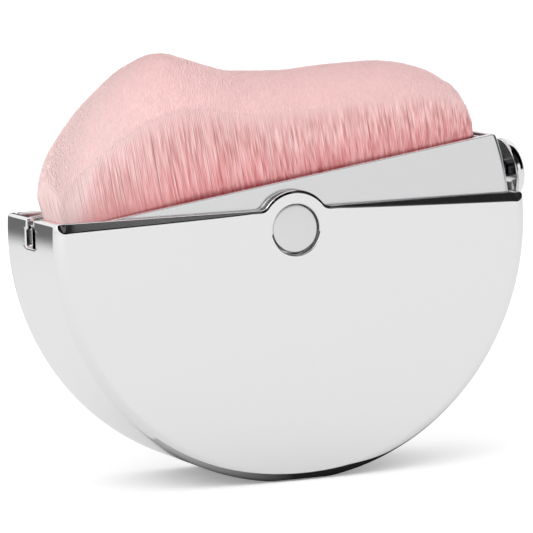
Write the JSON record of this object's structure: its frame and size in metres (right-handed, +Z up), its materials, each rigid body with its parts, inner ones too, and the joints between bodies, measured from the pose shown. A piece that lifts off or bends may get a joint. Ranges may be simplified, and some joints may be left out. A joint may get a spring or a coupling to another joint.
{
  "type": "face blending brush",
  "caption": "Compact face brush: a half-disc carrier with a dense tuft of bristles turns on a centre pivot inside a half-disc metal case and locks by an end knob.",
  "frame": {"origin": "middle of the small flat at the foot of the case, straight under the pivot", "axes": "+Z up through the pivot, -Y the front, +X towards the knob, at rest in the pictured pose"},
  "size_m": [0.0715, 0.0198, 0.0575],
  "materials": {
    "chrome_plate": "bright plated, softly polished",
    "satin_steel": "satin",
    "plain_steel": "as turned",
    "nylon": "natural white",
    "grey_plastic": "moulded",
    "bristle": "pink fibre, rosy at the root and pale at the tip"
  },
  "bodies": {
    "case": {"outer_case": "chrome_plate"},
    "carrier": {"carrier_shell": "chrome_plate", "pivot_sleeve": "plain_steel", "front_pivot_button": "satin_steel", "rear_pivot_button": "satin_steel", "front_friction_washer": "nylon", "rear_wave_washer": "plain_steel", "knob_head": "chrome_plate", "knob_collar": "plain_steel", "knob_stud": "plain_steel", "knob_washer": "plain_steel", "knob_nut": "plain_steel", "bristle_tray": "grey_plastic", "bristle_tuft": "bristle"}
  },
  "joints": [
    {"name": "carrier_hinge", "type": "hinge", "parent": "case", "child": "carrier", "pos_m": [0, 0, 0.0338], "axis": [0, -1, 0], "range_deg": [-7.5, 171.1]}
  ]
}
